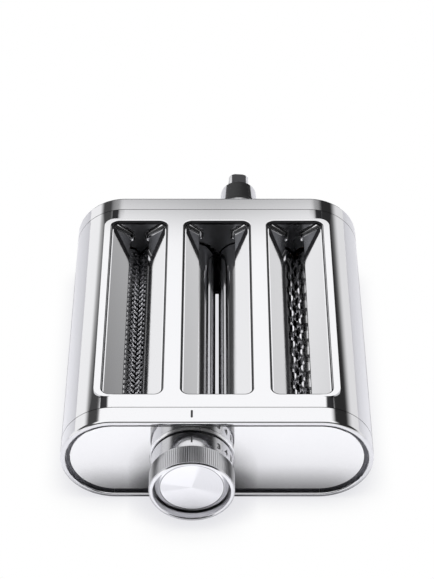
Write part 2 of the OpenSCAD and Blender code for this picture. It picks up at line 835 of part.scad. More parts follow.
module sheet_gear_fixed() {
    color("slategray") in_body() gear(sheet_x, sheet_teeth, deep_m, deep_tip, deep_root,
        neck_r + seat_gap, barrel_y, 180 / sheet_teeth);
}

module sheet_gear_adjustable() {
    color("slategray") in_body() gear(-sheet_x, sheet_teeth, deep_m, deep_tip, deep_root,
        neck_r + seat_gap, barrel_y);
}

module sheet_roller_fixed() {
    j = sheet_journal_r;
    color("lightgray") in_body() translate([sheet_x, 0, 0]) difference() {
        turned([
            [0, -journal_end], [j, -journal_end], [j, -neck_y], [sheet_r, -neck_y],
            [sheet_r, barrel_y], [neck_r, barrel_y], [neck_r, neck_y], [j, neck_y],
            [j, stub_end], [0, stub_end]
        ]);
        along_y(tail_y - 1, stub_end + 1) square(tail_w + 2 * seat_gap, center = true);
    }
}

module sheet_roller_adjustable() {
    b = roller_bore_r;
    j = slide_journal_r;
    y = yoke_y - 0.1;
    color("lightgray") in_body() translate([-sheet_x, 0, 0]) turned([
        [b, -y], [j, -y], [j, -neck_y], [sheet_r, -neck_y], [sheet_r, barrel_y],
        [neck_r, barrel_y], [neck_r, neck_y], [j, neck_y], [j, y], [b, y]
    ]);
}

// Octagonal end of the square drive
function square_points() = let (a = square_w / 2, f = square_flat / 2)
    [[a, -f], [a, f], [f, a], [-f, a], [-a, f], [-a, -f], [-f, -a], [f, -a]];

module input_shaft() {
    over = norm([square_w, square_flat]) / 2;
    r = shaft_drive_r;
    color("dimgray") in_body() translate([sheet_x, 0, 0]) {
        along_y(tail_y, stub_end + 1) square(tail_w, center = true);
        turned([
            [0, stub_end], [r, stub_end], [r, stub_end + 0.4], [r + 1.6, stub_end + 0.4],
            [r + 1.6, panel_in + 0.1], [r, panel_in + 0.1], [r, square_y + 1], [0, square_y + 1]
        ]);
        rotate([0, square_turn, 0]) intersection() {
            along_y(square_y, square_end) polygon(square_points());
            turned([[0, square_y - 1], [over + 1, square_y - 1], [over + 1, square_end - 2],
                [over - 1, square_end + 0.01], [0, square_end + 0.01]]);
        }
    }
}

// ---- mixer hub ----

module hub_collar() {
    a = register_r - seat_gap;
    c = collar_d / 2;
    root = nose_root_d / 2;
    n = nose_d / 2;
    b = hub_bore_r;
    color("silver") in_body() translate([sheet_x, 0, 0]) difference() {
        turned([
            [b, panel_in], [a, panel_in], [a, panel_out], [c - 0.4, panel_out],
            [c - 0.4, half_l + collar_base_l], [c, half_l + collar_base_l],
            [c, collar_end - collar_lead], [c - 0.8, collar_end - 0.6], [c - 1.4, collar_end],
            [root, collar_end], [n, nose_end - 0.8], [n - 0.8, nose_end], [b, nose_end]
        ]);
        for (a = [45:90:315]) rotate([0, a, 0]) rod_at(hub_screw_r, 0, 1.25 + seat_gap,
            panel_out - 1, panel_out + hub_screw_l + 1);
        translate([0, half_l + collar_base_l / 2, -c - 1]) cylinder(r = 1.5 + seat_gap, h = 5.5);
    }
}

module hub_locating_pin() {
    color("silver") in_body() translate([sheet_x, half_l + collar_base_l / 2, -collar_d / 2 - 2])
        cylinder(r = 1.5, h = 6);
}

module hub_bushes() {
    color("goldenrod") in_body() translate([sheet_x, 0, 0])
        for (y = [panel_in + 0.3, nose_end - hub_bush_l - 0.3]) turned([
            [shaft_drive_r + run_gap, y], [hub_bore_r - seat_gap, y],
            [hub_bore_r - seat_gap, y + hub_bush_l], [shaft_drive_r + run_gap, y + hub_bush_l]
        ]);
}

module hub_screws() {
    color("darkgray") in_body() translate([sheet_x, 0, 0]) for (a = [45:90:315])
        rotate([0, a, 0]) translate([hub_screw_r, 0, 0]) turned([
            [0, panel_in - 1.2], [2.5, panel_in - 1.2], [2.5, panel_in], [1.25, panel_in],
            [1.25, panel_out + hub_screw_l], [0, panel_out + hub_screw_l]
        ]);
}

module panel_screws() {
    color("darkgray") in_body() for (p = panel_screw_places) {
        r = small_screw_r;
        countersunk(p[0], p[1], r, panel_out, ledge_in - 1);
        translate([p[0], 0, p[1]]) turned([
            [0, r - ledge_in], [2 * r, r - ledge_in], [2 * r, -ledge_in], [r, -ledge_in],
            [r, -panel_in - 0.6 * panel_t], [0, -panel_in - 0.6 * panel_t]
        ]);
    }
}

// ---- thickness setting ----

// Block that carries one journal of the adjustable roller. Its inner half is bored for the
// journal, and its outer half is slotted for the eccentric.
module slide_block(s) {
    translate([-sheet_x, 0, 0]) difference() {
        along_y(s > 0 ? plate_in : -plate_out, s > 0 ? plate_out : -plate_in)
            square([block_w, block_h], center = true);
        rod_at(0, 0, slide_journal_r + run_gap, s > 0 ? plate_in - 1 : -yoke_y,
            s > 0 ? yoke_y : -plate_in + 1);
        along_y(s > 0 ? yoke_y - 0.5 : -plate_out - 1, s > 0 ? plate_out + 1 : 0.5 - yoke_y)
            translate([eccentric_x, 0])
            square([2 * (eccentric_r + yoke_gap), 2 * (eccentric_r + 1.2)], center = true);
    }
}

module front_slide_block() {
    color("goldenrod") in_body() slide_block(-1);
}

module rear_slide_block() {
    color("goldenrod") in_body() slide_block(1);
}

module adjusting_shaft() {
    e = [eccentric_x, eccentric_z];
    color("darkgray") in_body() translate([-sheet_x, 0, 0]) difference() {
        union() {
            along_y(-shaft_tip, 0.1 - square_root) square(shaft_square, center = true);
            turned([
                [0, -square_root], [shaft_r, -square_root], [shaft_r, -collar_y - 1.6],
                [shaft_collar_r, -collar_y - 1.6], [shaft_collar_r, -collar_y], [shaft_mid_r, -collar_y],
                [shaft_mid_r, plate_out - 1], [axle_r, plate_out - 1], [axle_r, axle_end],
                [0, axle_end]
            ]);
            for (s = [-1, 1]) rod_at(e[0], e[1], eccentric_r, s > 0 ? yoke_y + 0.3 : 0.2 - plate_out,
                s > 0 ? plate_out - 0.2 : -yoke_y - 0.3);
        }
        rod_at(0, 0, screw_d / 2 + seat_gap, -shaft_tip - 1, -shaft_tip + 3 * screw_d);
    }
}

module adjusting_shaft_bushes() {
    r = shaft_r + run_gap;
    a = axle_r + run_gap;
    y = carrier_y - carrier_t;
    color("goldenrod") in_body() translate([-sheet_x, 0, 0]) {
        turned([
            [r, -carrier_y], [r + bush_t, -carrier_y], [r + bush_t, -y], [r + bush_t + 1, -y],
            [r + bush_t + 1, -y + bush_flange_t], [r, -y + bush_flange_t]
        ]);
        turned([
            [a, train_out + side_gap], [a + 1.5 - seat_gap, train_out + side_gap],
            [a + 1.5 - seat_gap, panel_out - 1.2], [a, panel_out - 1.2]
        ]);
    }
}

module front_bush_carrier() {
    z = carrier_foot_z;
    y = carrier_y - carrier_t;
    color("gray") in_body() translate([-sheet_x, 0, 0]) difference() {
        union() {
            along_y(-carrier_y, -y) square([carrier_w, 2 * z + carrier_foot], center = true);
            for (s = [-1, 1]) along_y(-y - 0.5, -plate_out)
                translate([0, s * z]) square([0.7 * carrier_w, carrier_foot], center = true);
        }
        rod_at(0, 0, shaft_r + run_gap + bush_t + seat_gap, -carrier_y - 1, 1 - y);
        for (s = [-1, 1]) sunk_hole(0, s * z, 1.25, -carrier_y, 1 - plate_out);
    }
}

module carrier_screws() {
    color("darkgray") in_body() for (s = [-1, 1])
        countersunk(-sheet_x, s * carrier_foot_z, 1.23, -carrier_y, 0.2 - plate_in);
}

// ---- dial knob ----

module dial_base_ring() {
    r = dial_d / 2 + 1;
    color("silver") in_body() translate([-sheet_x, 0, 0]) turned([
        [track_r + pin_r + 1.1, -panel_out], [r, -panel_out], [r, 0.3 - ring_y],
        [r - 0.3, -ring_y], [track_r + pin_r + 1.1, -ring_y]
    ]);
}

module knob_dial() {
    r = dial_d / 2;
    web = spring_y0 - web_t;
    color("silver") in_body() translate([-sheet_x, 0, 0]) difference() {
        turned([
            [0, -web], [r - 2.6, -web], [r - 2.6, -dial_y], [r - 0.4, -dial_y], [r, -dial_y - 0.4],
            [r, -grip_y], [spigot_r + seat_gap, -grip_y], [spigot_r + seat_gap, -spring_y0],
            [0, -spring_y0]
        ]);
        along_y(-spring_y0 - 1, 1 - web) square(shaft_square + 0.1, center = true);
        rotate([0, -pin_angle, 0]) rod_at(track_r, 0, pin_r + seat_gap, -web - 2.2, 1 - web);
    }
}

module knob_pin() {
    color("darkgray") in_body() translate([-sheet_x, 0, 0]) rotate([0, -pin_angle, 0])
        rod_at(track_r, 0, pin_r, -(spring_y0 - web_t) - 2, -panel_in - 0.5);
}

// Grip: a knurled cup, with a ring inside that carries the face disc
module knob_grip() {
    r = grip_d / 2;
    base = r - knurl_depth;
    floor_y = grip_y + grip_floor;
    seat_y = face_y - face_t;
    ribs = [for (i = [0:2 * grip_ribs - 1]) let (a = 180 * i / grip_ribs, d = i % 2 == 0 ? r : base)
        [d * cos(a), d * sin(a)]];
    color("silver") in_body() translate([-sheet_x, 0, 0]) {
        difference() {
            along_y(0.8 - front_y, -grip_y - 0.6) polygon(ribs);
            rod_at(0, 0, base - 1, -front_y, -grip_y);
        }
        turned([
            [hub_clear, 0.3 - spring_y0 - 0.6], [spigot_r, 0.3 - spring_y0 - 0.6], [spigot_r, -grip_y],
            [base - 0.2, -grip_y], [base - 0.2, -front_y + 0.6], [base - 0.6, -front_y + 0.15],
            [base - 1, -front_y], [grip_in_r + 0.3, -front_y], [grip_in_r, -front_y + 0.3],
            [grip_in_r, -floor_y], [support_r, -floor_y], [support_r, -seat_y],
            [hub_clear, -seat_y]
        ]);
    }
}

module knob_face_disc() {
    b = face_r - face_bevel;
    color("gainsboro") in_body() translate([-sheet_x, 0, 0]) turned([
        [0, face_t - face_y], [face_r, face_t - face_y], [face_r, 1.2 - face_y], [b, -face_y],
        [b - 0.3, -face_y], [b - 0.3, 0.15 - face_y], [0, 0.15 - face_y]
    ]);
}

// Spring: a tube slotted from alternate sides
module knob_spring() {
    n = 5;
    pitch = (shaft_tip - spring_y0) / n;
    color("dimgray") in_body() translate([-sheet_x, 0, 0]) difference() {
        turned([
            [spring_r - 0.7, -shaft_tip], [spring_r + 0.5, -shaft_tip],
            [spring_r + 0.5, -spring_y0], [spring_r - 0.7, -spring_y0]
        ]);
        for (i = [0:n - 1]) along_y(-spring_y0 - (i + 0.5) * pitch - (pitch - spring_wire) / 2,
            -spring_y0 - (i + 0.5) * pitch + (pitch - spring_wire) / 2)
            rotate(i * 180) translate([-0.7 * spring_r, -2 * spring_r]) square(4 * spring_r);
    }
}

module knob_retaining_screw() {
    y = shaft_tip + washer_t;
    color("darkgray") in_body() translate([-sheet_x, 0, 0]) turned([
        [0, -y - screw_head_t], [3.4, -y - screw_head_t], [3.4, -y], [6.7, -y], [6.7, -shaft_tip],
        [screw_d / 2, -shaft_tip], [screw_d / 2, -shaft_tip + 2.8 * screw_d],
        [0, -shaft_tip + 2.8 * screw_d]
    ]);
}

main_shell();
front_bezel();
rear_bezel();
front_panel();
rear_panel();
front_cheek_plate();
rear_cheek_plate();
front_bearing_plate();
rear_bearing_plate();
sheet_hopper_guides();
spaghetti_hopper_guides();
fettuccine_hopper_guides();
sheet_exit_guides();
spaghetti_exit_guides();
fettuccine_exit_guides();
sheet_scrapers();
spaghetti_stripper_combs();
fettuccine_stripper_combs();
tie_rods();
frame_screws();
sheet_roller_bushes();
cutter_bushes();
adjusting_shaft_bushes();
front_bush_carrier();
carrier_screws();
panel_screws();
dial_base_ring();
hub_collar();
hub_bushes();
hub_screws();
hub_locating_pin();
sheet_roller_fixed();
sheet_gear_fixed();
drive_gear();
input_shaft();
idler_gear();
sheet_roller_adjustable();
sheet_gear_adjustable();
front_slide_block();
rear_slide_block();
fettuccine_roller_inner();
fettuccine_drive_gear();
fettuccine_gear_inner();
fettuccine_roller_outer();
fettuccine_gear_outer();
spaghetti_roller_inner();
spaghetti_drive_gear();
spaghetti_gear_inner();
spaghetti_roller_outer();
spaghetti_gear_outer();
adjusting_shaft();
knob_spring();
knob_retaining_screw();
knob_dial();
knob_grip();
knob_face_disc();
knob_pin();
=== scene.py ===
# %% [markdown]
# # A three-slot pasta roller, dressed for the camera
# The case of this machine is polished stainless steel, so almost all of its look is what it
# reflects. The CAD model gives every piece its true form. This script adds the studio, the
# finishes and the small marks, in short steps. First come the tools and the CAD model.

# %% Load the CAD model
import bpy, math
import numpy as np
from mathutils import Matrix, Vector


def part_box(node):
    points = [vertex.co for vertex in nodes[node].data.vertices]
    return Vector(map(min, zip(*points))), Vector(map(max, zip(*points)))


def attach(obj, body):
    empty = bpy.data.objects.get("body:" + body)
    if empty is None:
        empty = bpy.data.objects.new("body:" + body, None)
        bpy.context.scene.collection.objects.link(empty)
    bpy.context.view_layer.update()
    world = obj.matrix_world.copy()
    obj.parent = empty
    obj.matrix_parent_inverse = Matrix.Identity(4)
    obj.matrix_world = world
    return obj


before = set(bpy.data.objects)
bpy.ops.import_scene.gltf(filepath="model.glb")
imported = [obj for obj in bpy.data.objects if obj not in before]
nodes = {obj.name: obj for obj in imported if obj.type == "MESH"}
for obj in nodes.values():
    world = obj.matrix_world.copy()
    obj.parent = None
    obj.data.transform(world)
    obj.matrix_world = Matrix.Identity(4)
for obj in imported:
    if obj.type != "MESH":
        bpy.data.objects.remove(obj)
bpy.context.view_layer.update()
MM = 0.001
low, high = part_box("main_shell")
middle = (low + high) / 2


def from_middle(name):
    """A piece's box in mm as seen from the middle of the case: its low corner and its high corner."""
    return [(corner - middle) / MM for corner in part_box(name)]


print("pieces:", len(nodes), "half the case in mm:", [round(v, 1) for v in from_middle("main_shell")[1]])

# %% [markdown]
# ## Camera
# The machine is seen from the dial's end and from well above. A long lens keeps the far end
# only a little smaller than the near one. The numbers are the lens, the place as seen from
# the middle of the case, and the tilt away from straight down.

# %% Camera
lens_mm, sensor_mm = 118.67, 36
back_mm, above_mm, tilt_degrees = 798.1, 745.0, 48.505
camera_data = bpy.data.cameras.new("camera")
camera_data.lens, camera_data.sensor_width, camera_data.sensor_fit = lens_mm, sensor_mm, "AUTO"
camera_data.clip_start, camera_data.clip_end = 0.05, 50
camera = bpy.data.objects.new("camera", camera_data)
camera.location = middle + Vector((0, -back_mm, above_mm)) * MM
camera.rotation_euler = (math.radians(tilt_degrees), 0, 0)
bpy.context.scene.collection.objects.link(camera)
bpy.context.scene.camera = camera
bpy.context.scene.view_settings.view_transform = "Standard"
print("camera at", [round(v, 3) for v in camera.location])

# %% [markdown]
# ## Colours and nodes
# Colours are easier to choose as the hex codes of a paint chart. Blender wants linear light,
# so one function turns one into the other. A second function adds a node with its settings
# and links, and hands back the output that the next node reads. Two of the settings come up
# so often that they have names: the smooth step of a Map Range, and a Mix of two colours.
# A mask is a number between 0 and 1 over the surface. Masks start from the place on the
# piece, so the last three functions give that place, a distance, and a product of masks.

# %% Colour and node helpers
def linear(code):
    """Each sRGB channel to linear light: c / 12.92 below 0.04045, else ((c + 0.055) / 1.055) ^ 2.4."""
    c = np.array([int(code[i:i + 2], 16) for i in (0, 2, 4)]) / 255
    return [*np.where(c <= 0.04045, c / 12.92, ((c + 0.055) / 1.055) ** 2.4).tolist(), 1.0]


def add(tree, kind, inputs=(), output=0, **settings):
    """Adds a node; its inputs, in order or by name, are values or outputs to link from. Gives an output."""
    n = tree.nodes.new("ShaderNode" + kind)
    for key, value in settings.items():
        setattr(n, key, value)
    for key, value in inputs.items() if isinstance(inputs, dict) else enumerate(inputs):
        if isinstance(value, bpy.types.NodeSocket):
            tree.links.new(value, n.inputs[key])
        else:
            n.inputs[key].default_value = value
    return n.outputs[output]


# Map Range reads value, start, end, result at start and result at end, which are 0 and 1 if left out.
SMOOTH = {"interpolation_type": "SMOOTHSTEP"}
# Mix reads the share at 0 and the two colours at 6 and 7.
COLOURS = {"data_type": "RGBA", "output": 2}
print("steel chip in linear light:", [round(v, 3) for v in linear("DCDCDE")])

# %% Parts of a mask
def place_on(tree, space="Object"):
    """The x, y and z of a spot on the piece."""
    return add(tree, "SeparateXYZ", [add(tree, "TexCoord", output=space)]).node.outputs


def distance(tree, a, b):
    """sqrt(a^2 + b^2)"""
    b_squared = add(tree, "Math", (b, b), operation="MULTIPLY")
    both_squared = add(tree, "Math", (a, a, b_squared), operation="MULTIPLY_ADD")
    return add(tree, "Math", [both_squared], operation="SQRT")


def all_of(tree, first, *others):
    """The product of masks, which is 1 only where each of them is."""
    for other in others:
        first = add(tree, "Math", (first, other), operation="MULTIPLY")
    return first


print("mask helpers ready")

# %% [markdown]
# ## What a finished metal is made of
# Bare metal has no colour of its own beside its reflection. What tells one piece from another
# is how sharp the reflection is and which way the marks of its making run. So every metal here
# has a tint, a roughness that drifts a little as polish does, and a grain. The grain is noise
# that is drawn out along the direction in which the belt, wheel or lathe tool moved.

# %% Metal finishes
CLOUD_MM, CLOUD_SPAN = 30, (0.3, 0.7)


def metal(name, code, roughness, grain_mm, grain_depth, run=(1, 1, 1), drift=0.3):
    """A metal: tint, roughness with its share of drift, and grain of a size and depth in mm."""
    m = bpy.data.materials.new(name)
    m.use_nodes = True
    t = m.node_tree
    shader = t.nodes["Principled BSDF"]
    shader.inputs["Metallic"].default_value = 1
    shader.inputs["Base Color"].default_value = linear(code)
    place = add(t, "TexCoord", output="Object")
    clouds = add(t, "TexNoise", {"Vector": place, "Scale": 1 / (CLOUD_MM * MM), "Detail": 3})
    rough = add(t, "MapRange", (clouds, *CLOUD_SPAN, roughness * (1 - drift), roughness * (1 + drift)))
    t.links.new(rough, shader.inputs["Roughness"])
    drawn = add(t, "Mapping", {"Vector": place, "Scale": run})
    grain = add(t, "TexNoise", {"Vector": drawn, "Scale": 1 / (grain_mm * MM), "Detail": 2, "Roughness": 0.6})
    bump = add(t, "Bump", {"Height": grain, "Strength": 1, "Distance": grain_depth * MM})
    t.links.new(bump, shader.inputs["Normal"])
    return m


def two_finishes(material, share, first, second):
    """The first (colour code, roughness) where share is 0, the second where it is 1."""
    t = material.node_tree
    shader = t.nodes["Principled BSDF"]
    tint = add(t, "Mix", {0: share, 6: linear(first[0]), 7: linear(second[0])}, **COLOURS)
    t.links.new(tint, shader.inputs["Base Color"])
    rough = add(t, "MapRange", (share, 0, 1, first[1], second[1]), **SMOOTH)
    t.links.new(rough, shader.inputs["Roughness"])


def dress(material, *names):
    """Gives CAD nodes their finish."""
    for name in names:
        nodes[name].data.materials.clear()
        nodes[name].data.materials.append(material)
    print(material.name, "on", len(names), "pieces")


ALONG_Y, ROUND_Y, ALONG_X = (1, 0.05, 1), (0.05, 1, 0.05), (0.05, 1, 1)
print("a grain is drawn out", round(1 / min(ALONG_Y)), "times")

# %% [markdown]
# ## Sheet metal of the case
# The case is stainless sheet, rolled to shape and buffed until it mirrors. The buffing wheel
# ran along the case, and it left lines that only dull the mirror a little. The hoppers under
# the lips are the same bright sheet. The panels at both ends are polished flat, like a mirror.

# %% Hoppers and panels
# The two dull colours are painted shade: dark inside the slot flanges, grey in the ring groove.
BRIGHT, PAINTED_EDGE_SHADE, PAINTED_GROOVE_SHADE = ("DCDCDE", 0.06), ("3A3A3C", 0.35), ("707074", 0.45)
BUFFED = {"grain_mm": 0.25, "grain_depth": 0.0003}
polished = metal("polished_stainless_steel", *BRIGHT, **BUFFED, run=ALONG_Y)
mirror = metal("mirror_polished_panel", "ECECEC", roughness=0.04, grain_mm=0.4, grain_depth=0.0001)
dress(polished, "sheet_hopper_guides", "spaghetti_hopper_guides", "fettuccine_hopper_guides")
dress(mirror, "front_panel", "rear_panel")

# %% [markdown]
# ## Cut edges of the slots
# The inside of each slot's flange is painted dark as painted shade, and it is rougher than the
# polished top. This painted shade shows as the fine dark line round each slot. The mask has
# three parts, each given in mm as where it starts and where it is full: just under the top face,
# down to the depth of the flange, and no further out than the slots, so the sides of the case stay bright.

# %% Shell finish
edge_starts, flange_ends, slots_end = (0.12, 0.30), (9, 8), (62.2, 61.8)
edged = metal("polished_steel_with_painted_edge_shade", *BRIGHT, **BUFFED, run=ALONG_Y)
et = edged.node_tree
x, _, z = place_on(et)
aside = add(et, "Math", [x], operation="ABSOLUTE")
under_top = add(et, "MapRange", (z, *(high.z - start * MM for start in edge_starts)), **SMOOTH)
in_flange = add(et, "MapRange", (z, *(high.z - end * MM for end in flange_ends)), **SMOOTH)
at_slots = add(et, "MapRange", (aside, *(end * MM for end in slots_end)), **SMOOTH)
# The flange colour is painted shade, mixed into the polished steel.
two_finishes(edged, all_of(et, under_top, in_flange, at_slots), BRIGHT, PAINTED_EDGE_SHADE)
dress(edged, "main_shell")

# %% [markdown]
# ## End rings
# The end rings were buffed across. Inside the ring's inner edge the steel is rougher, and its
# grey colour is painted shade for the groove next to the panel. The section of the case is a
# stadium: a flat core with round ends. The mask is the distance from that core,
# sqrt(side^2 + rise^2), less than the ring's inner edge.

# %% Ring finish
rim_width, mask_edge = 2.9, (-0.02, 0.05)
half_width, half_height = (high.x - low.x) / 2, (high.z - low.z) / 2
inner_edge = half_height - rim_width * MM
rim_polish = metal("polished_stainless_rim", *BRIGHT, **BUFFED, run=ALONG_X)
bt = rim_polish.node_tree
x, _, z = place_on(bt)
aside = add(bt, "Math", [x], operation="ABSOLUTE")
past_core = add(bt, "Math", (aside, half_width - half_height), operation="SUBTRACT")
side = add(bt, "Math", (past_core, 0), operation="MAXIMUM")
rise = add(bt, "Math", (z, middle.z), operation="SUBTRACT")
spread = distance(bt, side, rise)
inside = add(bt, "MapRange", (spread, *(inner_edge - past * MM for past in mask_edge)), **SMOOTH)
# The grey inside the ring is painted shade for the groove.
two_finishes(rim_polish, inside, BRIGHT, PAINTED_GROOVE_SHADE)
dress(rim_polish, "front_bezel", "rear_bezel")

# %% [markdown]
# ## Rollers and cutters
# The rollers are ground between centres, so their fine marks run round them. They mirror less
# sharply than the case. The cutters are tumbled with stones after they are cut, which takes
# off the burrs and leaves a paler, softer shine.

# %% Roller finish
ground = metal("ground_roller_steel", "D6D6D8", roughness=0.12, grain_mm=0.2, grain_depth=0.0004, run=ROUND_Y)
cut = metal("tumbled_cutter_steel", "F4F4F6", roughness=0.16, grain_mm=0.3, grain_depth=0.001, run=ROUND_Y)
dress(ground, "sheet_roller_fixed", "sheet_roller_adjustable")
dress(cut, "fettuccine_roller_inner", "fettuccine_roller_outer", "spaghetti_roller_inner",
      "spaghetti_roller_outer")

# %% [markdown]
# ## Inside pieces
# What sits inside only has to run well. Plates and guides of stainless sheet keep the grey
# satin face of the rolling mill. The bearing plates are milled aluminium, the bushes and
# blocks are oiled bronze, and gears and screws are machined steel.

# %% Inside finishes
satin = metal("satin_stainless_steel", "8E8F93", roughness=0.35, grain_mm=0.3, grain_depth=0.002, run=ALONG_Y)
milled = metal("milled_aluminium", "A9AAAD", roughness=0.4, grain_mm=0.4, grain_depth=0.004, run=ALONG_X)
bronze = metal("oiled_bronze", "A9793F", roughness=0.3, grain_mm=0.3, grain_depth=0.002, run=ROUND_Y)
machined = metal("machined_steel", "8A8B8E", roughness=0.35, grain_mm=0.3, grain_depth=0.003, run=ROUND_Y)
dress(satin, "front_cheek_plate", "rear_cheek_plate", "sheet_exit_guides", "spaghetti_exit_guides",
      "fettuccine_exit_guides", "sheet_scrapers", "spaghetti_stripper_combs", "fettuccine_stripper_combs")
dress(milled, "front_bearing_plate", "rear_bearing_plate", "front_bush_carrier")
dress(bronze, "sheet_roller_bushes", "cutter_bushes", "adjusting_shaft_bushes", "hub_bushes",
      "front_slide_block", "rear_slide_block")
dress(machined, "sheet_gear_fixed", "drive_gear", "idler_gear", "sheet_gear_adjustable",
      "fettuccine_drive_gear", "fettuccine_gear_inner", "fettuccine_gear_outer", "spaghetti_drive_gear",
      "spaghetti_gear_inner", "spaghetti_gear_outer", "adjusting_shaft", "knob_spring", "tie_rods",
      "frame_screws", "carrier_screws", "panel_screws", "hub_screws", "hub_locating_pin",
      "knob_retaining_screw", "knob_pin")

# %% [markdown]
# ## Square drive
# The shaft that the mixer turns is oiled carbon steel, which is much darker than the rest. Its
# corners are cut off at 45 degrees, and there a near-white colour is painted on as a highlight.
# The mask for the corners is cos(4 x bearing), which peaks at all four. It starts past the
# collar, and only outside the radius where the corners begin, so the end face stays dark.

# %% Square drive finish
# The second colour is the painted highlight on the corners.
DARK, PAINTED_CORNER_HIGHLIGHT = "555557", "E6E6E8"
rest_turn, corner_starts, peak, collar_fade = 4, (6.9, 7.1), (0.80, 0.88), 0.6
dark_steel = metal("oiled_carbon_steel", DARK, roughness=0.3, grain_mm=0.3, grain_depth=0.002, run=ROUND_Y)
dt = dark_steel.node_tree
drive = (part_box("input_shaft")[0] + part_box("input_shaft")[1]) / 2
collar_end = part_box("hub_collar")[1].y
x, y, z = place_on(dt)
aside = add(dt, "Math", (x, drive.x), operation="SUBTRACT")
above = add(dt, "Math", (z, drive.z), operation="SUBTRACT")
bearing = add(dt, "Math", (aside, above), operation="ARCTAN2")
from_corner = add(dt, "Math", (bearing, math.radians(rest_turn + 45)), operation="SUBTRACT")
four_times = add(dt, "Math", (from_corner, 4), operation="MULTIPLY")
wave = add(dt, "Math", [four_times], operation="COSINE")
corners = add(dt, "MapRange", (wave, *peak), **SMOOTH)
outside = add(dt, "MapRange", (distance(dt, aside, above), *(r * MM for r in corner_starts)), **SMOOTH)
past_collar = add(dt, "MapRange", (y, collar_end, collar_end + collar_fade * MM), **SMOOTH)
# The corners get a near-white painted highlight, mixed into the dark colour.
painted_highlight_share = all_of(dt, corners, outside, past_collar)
drive_tint = add(dt, "Mix", {0: painted_highlight_share, 6: linear(DARK), 7: linear(PAINTED_CORNER_HIGHLIGHT)}, **COLOURS)
dt.links.new(drive_tint, dt.nodes["Principled BSDF"].inputs["Base Color"])
dress(dark_steel, "input_shaft")

# %% [markdown]
# ## Collar, dial and base ring
# These are turned from steel and nickel plated, so they keep fine lines round their axis
# under a bright skin. The dial is satin, so that its numbers can be read, and the ring that
# it turns on is whiter.

# %% Collar, dial and base ring finishes
TURNED = {"grain_mm": 0.3, "grain_depth": 0.0004, "run": ROUND_Y}
plated = metal("nickel_plated_steel", "D8D8DA", roughness=0.08, **TURNED)
dial_plate = metal("satin_nickel_dial", "C9C9CC", roughness=0.17, **TURNED)
ring_plate = metal("bright_nickel_ring", "F0F0F2", roughness=0.25, **TURNED)
dress(plated, "hub_collar")
dress(ring_plate, "dial_base_ring")
dress(dial_plate, "knob_dial")

# %% [markdown]
# ## Grip
# The grip is knurled and blasted, then the rim in front of the knurl is polished. So its
# finish changes just behind the front face.

# %% Grip finish
RIM, KNURL = ("E4E4E6", 0.10), ("B9B9BC", 0.28)
knurl_starts = (0.5, 1.0)
grip = metal("blasted_and_polished_nickel", *KNURL, **TURNED)
gt = grip.node_tree
grip_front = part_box("knob_grip")[0].y
along = place_on(gt)["Y"]
knurl = add(gt, "MapRange", (along, *(grip_front + start * MM for start in knurl_starts)), **SMOOTH)
two_finishes(grip, knurl, RIM, KNURL)
dress(grip, "knob_grip")

# %% [markdown]
# ## Face disc
# The disc was spun against an abrasive pad. Its rings tilt the mirror outwards and inwards
# only, which draws the light out into soft wedges, as on a record. The rings are too fine to
# show one by one, so they are drawn 0.35 mm apart. They are noise along the distance from the
# axis. The wedges are also painted shade in the colour, in steps along the bearing from straight
# up, and a fine grey line of painted shadow runs round the disc near its edge.

# %% Face disc: spun rings
NICKEL, SHADED = "F0F0F2", "6E6E72"
ring_step, ring_depth = 0.35, 0.03
disc_low, disc_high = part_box("knob_face_disc")
axis, disc_r = (disc_low + disc_high) / 2, (disc_high.x - disc_low.x) / 2
spun = metal("spun_nickel_disc", NICKEL, roughness=0.12, grain_mm=0.3, grain_depth=0.0003, run=ROUND_Y)
st = spun.node_tree
x, _, z = place_on(st)
aside = add(st, "Math", (x, axis.x), operation="SUBTRACT")
above = add(st, "Math", (z, axis.z), operation="SUBTRACT")
reach = distance(st, aside, above)
rings = add(st, "TexNoise", {"W": reach, "Scale": 1 / (ring_step * MM), "Detail": 3}, noise_dimensions="1D")
ring_bump = add(st, "Bump", {"Height": rings, "Strength": 1, "Distance": ring_depth * MM})
st.links.new(ring_bump, st.nodes["Principled BSDF"].inputs["Normal"])
print("rings across the disc:", round(disc_r / MM / ring_step))

# %% Face disc: wedges
# The wedges below are painted shade: a darker colour set by the bearing round the disc.
right_from, right_to, left_from, left_to = (8, 22), (122, 96), (-108, -96), (-74, -86)
left_share, ring_span, streak_low, wedge_share = 0.8, (0.25, 0.75), 0.6, 0.25
bearing = add(st, "Math", [add(st, "Math", (aside, above), operation="ARCTAN2")], operation="DEGREES")
right = all_of(st, add(st, "MapRange", (bearing, *right_from), **SMOOTH),
               add(st, "MapRange", (bearing, *right_to), **SMOOTH))
left = all_of(st, add(st, "MapRange", (bearing, *left_from, 0, left_share), **SMOOTH),
              add(st, "MapRange", (bearing, *left_to), **SMOOTH))
wedges = add(st, "Math", (right, left), operation="ADD")
streaks = add(st, "MapRange", (rings, *ring_span, streak_low, 1), **SMOOTH)
print("right wedge:", right_from[0], "to", right_to[0], "degrees from straight up")

# %% Face disc: line, and the finish
# The line is a painted shadow line near the disc's edge.
line_from, line_to, fade, line_share = 2.7 * MM, 2.4 * MM, 0.3 * MM, 0.8
from_edge = add(st, "Math", (disc_r, reach), operation="SUBTRACT")
within = add(st, "MapRange", (from_edge, line_from + fade, line_from + 2 * fade), **SMOOTH)
line = all_of(st, add(st, "MapRange", (from_edge, line_from + fade, line_from), **SMOOTH),
              add(st, "MapRange", (from_edge, line_to - fade, line_to), **SMOOTH))
wedge_shade = all_of(st, wedges, within, streaks, wedge_share)
shade = add(st, "Math", (wedge_shade, all_of(st, line, line_share)), operation="MAXIMUM")
disc_tint = add(st, "Mix", {0: shade, 6: linear(NICKEL), 7: linear(SHADED)}, **COLOURS)
st.links.new(disc_tint, st.nodes["Principled BSDF"].inputs["Base Color"])
dress(spun, "knob_face_disc")

